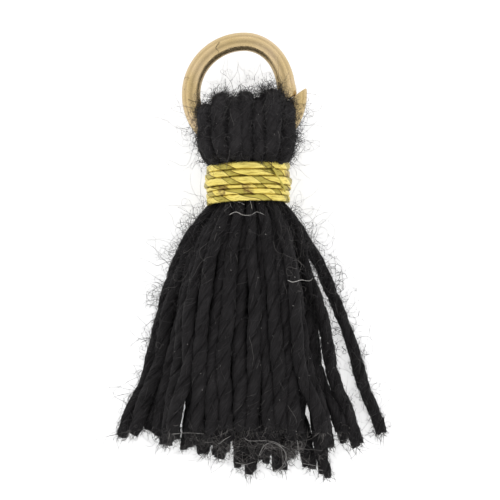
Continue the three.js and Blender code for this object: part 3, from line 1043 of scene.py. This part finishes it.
def make_fuzz(rng, yarn):
    dark_shades = [
        (0.0, (0.006, 0.0056, 0.006)),
        (0.55, (0.014, 0.013, 0.014)),
        (0.85, (0.03, 0.028, 0.03)),
        (0.97, (0.06, 0.057, 0.058)),
        (1.0, (0.13, 0.125, 0.12)),
    ]
    loose_shades = [(0.0, (0.02, 0.019, 0.02)), (0.6, (0.06, 0.056, 0.054)), (1.0, (0.26, 0.245, 0.235))]
    pale_shades = [(0.0, (0.2, 0.19, 0.185)), (1.0, (0.7, 0.68, 0.65))]
    dark = fibre_material("stray_fibres", dark_shades, 0.6, 0.2)
    loose = fibre_material("loose_fibres", loose_shades, 0.6, 0.3)
    pale = fibre_material("pale_fibres", pale_shades, 0.5, 0.5)
    make_curls(rng, yarn, "halo", on_edges, 560, 1.0, (0.9, 2.4), 4, 26, dark, (0.3, 1), LONG)
    make_curls(rng, yarn, "fuzz_head", on_head, 1400, 0.45, (0.3, 0.9), 9, 15, dark, (0.1, 1))
    make_curls(rng, yarn, "fuzz_skirt", on_skirt, 1900, 0.35, (0.25, 0.9), 7, 13, dark, (0.2, 1))
    make_curls(rng, yarn, "felt_head", between_loops, 1300, 0.9, (0.3, 0.7), 6, 10, dark, (0.5, 1), THICK)
    make_down(rng, yarn, "down_head", on_head, 2200, 0.07, 9, dark, (0.45, 1))
    make_down(rng, yarn, "down_skirt", evenly_on_skirt, 6400, 0.035, 3, dark, (0.2, 0.99))
    make_down(rng, yarn, "down_edges", on_skirt, 2000, 0.06, 4, dark, (0.6, 1))
    paler = (0.3, 0.85)
    make_curls(rng, yarn, "grey_curls", on_shoulders, 300, 0.25, (0.4, 1.3), 5.5, 14, loose, paler, LONG)
    make_end_tufts(rng, yarn, 24, loose)
    make_tangle(rng, dark)
    make_end_tangle(rng, loose)
    make_hairs(rng, yarn, pale, dark)
    # Painted highlights: pale specks of fibre for glints on the yarn
    make_painted_glints(rng, yarn, pale)


# Binding: turns of metallic thread, their edges down the middle of the front as heights in the photograph
TURN_EDGES = [161, 168.8, 176.1, 184, 188, 193.9, 200.7]
TURN_RADII = [1.99, 2.01, 2.13, 2.0, 1.98, 1.97]
THREAD_THICKNESS = 0.24
THREAD_STEP = 0.04
THREAD_SIDES = 14
PAST_THE_FRONT = 0.9 * math.pi
FLATTENED = 0.75
FOIL_PERIOD = 1.8
FOIL_SLOPE = 0.51
FOIL_THICKNESS = 0.026
FOIL_TILT = 0.02
CRUMPLE = 0.04
FOIL_SHIFTS = [0.3, 0, 0, 0, 0, 0]
FRONT_SHIFT = 0.175

# Where the foil is worn to its brown core: a turn, and the pixels of the photograph that it spans
WORN_PLACES = [(1, 283, 288), (3, 221, 228), (3, 243, 250), (4, 221, 226), (4, 245, 252)]
WORN_EDGE = 1.5

# The thread's end, drawn under itself at the right: the pixels that it passes
TUCKED_END = [(273, 168), (276, 173), (279, 180), (283, 186), (285, 191)]
TUCKED_RADIUS = 2.1
TUCKED_HALF_WIDTH = 0.07
TUCKED_HALF_THICKNESS = 0.045
OLIVE_PHASE = 0.8


def add_tucked_end(batch):
    x, seen_y = smooth_way(TUCKED_END).T
    height = np.sqrt(TUCKED_RADIUS**2 - x**2)
    path = points_at(x, seen_y - height * math.tan(CAMERA_TILT), AXIS_HEIGHT + height)
    outwards = points_at(x, 0, height) / TUCKED_RADIUS
    across = unit(np.cross(unit(np.gradient(path, axis=0)), outwards))
    around = circle(8)
    thick = TUCKED_HALF_THICKNESS * np.cos(around)
    wide = TUCKED_HALF_WIDTH * np.sin(around)
    rings = rings_round(path, thick, outwards, wide, across)
    batch.add_tube(rings, np.full(len(path), OLIVE_PHASE), np.linspace(0, 0.2, 9))


def flattened(wave):
    """A sine or cosine drawn out towards its corners, for a section between round and square."""
    return np.sign(wave) * np.abs(wave) ** FLATTENED


def foil_wear(rng, phi, turn, middle):
    """How far the foil is worn away, from 0 to 1, for each point of the thread."""
    pixel = AXIS_PIXEL[0] + middle[:, 0] / PIXEL
    worn = np.zeros(len(phi))
    for worn_turn, start, finish in WORN_PLACES:
        near = smoothstep(pixel, start - WORN_EDGE, start)
        near = near * (1 - smoothstep(pixel, finish, finish + WORN_EDGE))
        worn = np.maximum(worn, near * (turn == worn_turn) * (np.sin(phi) > 0))
    return np.repeat(worn, THREAD_SIDES) * rng.uniform(0.1, 1, size=len(phi) * THREAD_SIDES)


def binding_thread(rng):
    """One helix round the neck, whose angle phi is a quarter turn, and whole turns more, at the front."""
    edges = (AXIS_PIXEL[1] - np.array(TURN_EDGES)) * PIXEL - FRONT_SHIFT
    middles = (edges[:-1] + edges[1:]) / 2
    widths = edges[:-1] - edges[1:]
    at = np.arange(len(middles)) * TURN + math.pi / 2
    phi = np.arange(at[0] - PAST_THE_FRONT, at[-1] + PAST_THE_FRONT, THREAD_STEP)
    y = np.interp(phi, at, middles)
    before = np.minimum(0, phi - at[0])
    after = np.maximum(0, phi - at[-1])
    y = y - before * widths[0] / TURN - after * widths[-1] / TURN
    width = np.interp(phi, at, widths)
    radius = np.interp(phi, at, TURN_RADII) - THREAD_THICKNESS / 2
    middle = points_at(radius * np.cos(phi), y, AXIS_HEIGHT + radius * np.sin(phi))
    outwards = points_at(np.cos(phi), 0, np.sin(phi))
    along = lengths_along(middle)
    around = circle(THREAD_SIDES)
    rise = 0.5 * width[:, None] * flattened(np.sin(around))
    jitter = 0.1 * np.sin(along * 1.7) + 0.06 * np.sin(along * 4.1 + 1)
    slipped = np.interp(phi, at, FOIL_SHIFTS)
    phase = (along[:, None] - rise / FOIL_SLOPE) / FOIL_PERIOD + (jitter + slipped)[:, None]
    share = phase % 1
    foil_turn = np.floor(phase).astype(int)
    tilts = rng.normal(scale=FOIL_TILT, size=foil_turn.max() + 2)
    strip = smoothstep(share, 0, 0.05) * (1 - smoothstep(share, 0.65, 0.7))
    last = smoothstep(phi, at[-1] - math.pi, at[-1] - 0.8 * math.pi)[:, None]
    crumpled = CRUMPLE * lerp(0.25, 1, last) * np.sin(along * 19)[:, None]
    crumpled = crumpled * np.sin(rise * 34 + along[:, None] * 5)
    lift = FOIL_THICKNESS * strip + tilts[foil_turn] * strip * (share - 0.3) + crumpled
    thick = 0.5 * THREAD_THICKNESS * flattened(np.cos(around)) + lift
    up = np.array([[0, 1.0, 0]])
    batch = Batch()
    rings = rings_round(middle, thick, outwards, rise, up)
    batch.add_tube(rings, along, np.linspace(0, 1, THREAD_SIDES + 1))
    closed = np.concatenate([phase, phase[:, :1]], axis=1)
    risen = np.concatenate([rise, rise[:, :1]], axis=1)
    batch.uvs[0] = uvs_at_corners(closed, risen)
    turn = np.floor((phi - at[0] + math.pi) / TURN).astype(int)
    worn = foil_wear(rng, phi, turn, middle)
    add_tucked_end(batch)
    worn = np.concatenate([worn, np.zeros(batch.count - len(worn))])
    piece = batch.make("binding_thread", thread_material(), "gold_thread", ["neck_binding"])
    piece.data.attributes.new("worn", "FLOAT", "POINT").data.foreach_set("value", worn.astype(np.float32))


# Surroundings
FLOOR_HALF = 0.6

# How bright the room is, from the horizon at 0 to straight overhead at 1
SKY = [
    (0.0, 0.75),
    (0.4, 0.78),
    (0.54, 0.9),
    (0.6, 1.5),
    (0.66, 0.95),
    (0.88, 0.88),
    (0.95, 0.72),
    (0.985, 0.55),
]
SKY_STRENGTH = 1.3


def make_floor():
    mesh = bpy.data.meshes.new("floor")
    signs = [(-1, -1), (1, -1), (1, 1), (-1, 1)]
    mesh.from_pydata([(x * FLOOR_HALF, y * FLOOR_HALF, 0) for x, y in signs], [], [(0, 1, 2, 3)])
    material, _, shader = new_material("white_paper")
    set_inputs(shader, Base_Color=(0.6, 0.6, 0.6, 1), Roughness=0.9, Specular_IOR_Level=0.1)
    set_inputs(shader, Emission_Color=(1, 1, 1, 1), Emission_Strength=0.62)
    mesh.materials.append(material)
    add_object("floor", mesh)


def make_light():
    """Pale light from all round, brightest some way up, and no tone curve over the picture."""
    world = bpy.data.worlds.new("studio")
    bpy.context.scene.world = world
    world.use_nodes = True
    tree = world.node_tree
    background = tree.nodes["Background"]
    place = add_node(tree, "ShaderNodeTexCoord").outputs["Generated"]
    stops = [(height, grey(brightness)) for height, brightness in SKY]
    set_inputs(background, Color=ramp(tree, part_of(tree, place, "Z"), stops), Strength=SKY_STRENGTH)
    bpy.context.scene.view_settings.view_transform = "Standard"


def main():
    make_camera()
    make_light()
    make_floor()
    ring_wire()
    binding_thread(np.random.default_rng(BINDING_SEED))
    plies, batches = make_yarn(yarn_material())
    make_fuzz(np.random.default_rng(FUZZ_SEED), Yarn(plies, batches))


main()
